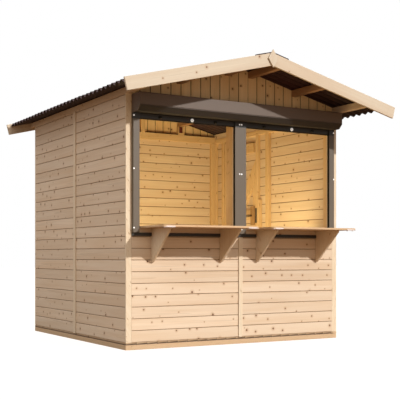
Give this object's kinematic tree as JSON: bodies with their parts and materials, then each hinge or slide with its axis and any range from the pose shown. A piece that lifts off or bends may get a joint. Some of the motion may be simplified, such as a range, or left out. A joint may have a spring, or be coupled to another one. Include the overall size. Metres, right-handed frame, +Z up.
{
  "type": "wooden market stall",
  "caption": "Boarded timber market stall with a floor, a pitched corrugated roof, a side door, and serving openings with counters under a roller shutter box.",
  "frame": {"origin": "on the ground in the middle of the walls' footprint, on the underside of the middle floor bearer", "axes": "+X to the right along the front, +Y from the serving front to the back, +Z up"},
  "size_m": [2.472, 2.59, 2.2637],
  "materials": {
    "floor_wood": "untreated softwood, sawn",
    "wall_wood": "untreated softwood, planed tongue and groove",
    "frame_wood": "untreated softwood, planed",
    "trim_wood": "untreated softwood, planed",
    "gable_wood": "untreated softwood, planed tongue and groove",
    "purlin_wood": "untreated softwood, planed",
    "counter_wood": "untreated softwood, planed and edged",
    "roof_sheet": "corrugated bitumen sheet, dark red-brown, matt",
    "shutter_metal": "anthracite powder coat, satin",
    "guide_metal": "bronze-grey powder coat, satin",
    "dark_metal": "black powder coat, satin",
    "rubber": "black, matt",
    "bright_metal": "polished",
    "zinc_steel": "zinc plated, satin"
  },
  "bodies": {
    "stall": {"base_side_rails": "floor_wood", "base_bearers": "floor_wood", "floor_deck": "floor_wood", "left_wall_boards": "wall_wood", "left_wall_posts": "frame_wood", "left_wall_rails": "frame_wood", "right_wall_boards": "wall_wood", "right_wall_over_door": "wall_wood", "right_wall_posts": "frame_wood", "right_wall_rails": "frame_wood", "rear_wall_boards": "wall_wood", "rear_wall_posts": "frame_wood", "rear_wall_rails": "frame_wood", "front_wall_boards": "wall_wood", "front_post_facings": "wall_wood", "front_wall_posts": "frame_wood", "front_wall_rails": "frame_wood", "corner_boards": "trim_wood", "joint_battens": "trim_wood", "front_gable": "gable_wood", "rear_gable": "gable_wood", "gable_posts": "frame_wood", "ridge_purlins": "purlin_wood", "middle_purlins": "purlin_wood", "eave_purlins": "purlin_wood", "roof_sheets": "roof_sheet", "ridge_cap": "roof_sheet", "front_barge_boards": "trim_wood", "rear_barge_boards": "trim_wood", "apex_plates": "trim_wood", "shutter_box": "shutter_metal", "shutter_box_ends": "shutter_metal", "guide_rails": "guide_metal", "shutter_bottom_slats": "dark_metal", "shutter_stoppers": "rubber", "shutter_locks": "bright_metal", "sill_bar": "dark_metal", "counter_boards": "counter_wood", "counter_brackets": "counter_wood", "counter_corner_plates": "zinc_steel", "door_hinge_plates": "zinc_steel", "lock_keep": "dark_metal", "lock_side_post": "frame_wood"},
    "door": {"door_boards": "wall_wood", "door_stiles": "frame_wood", "door_ledges": "frame_wood", "door_braces": "frame_wood", "door_hinge_straps": "zinc_steel", "door_lock": "zinc_steel", "door_handles": "bright_metal"}
  },
  "joints": [
    {"name": "door_hinge", "type": "hinge", "parent": "stall", "child": "door", "pos_m": [1.009, 0.758, 0.967], "axis": [0, 0, 1], "range_deg": [0, 100]}
  ]
}
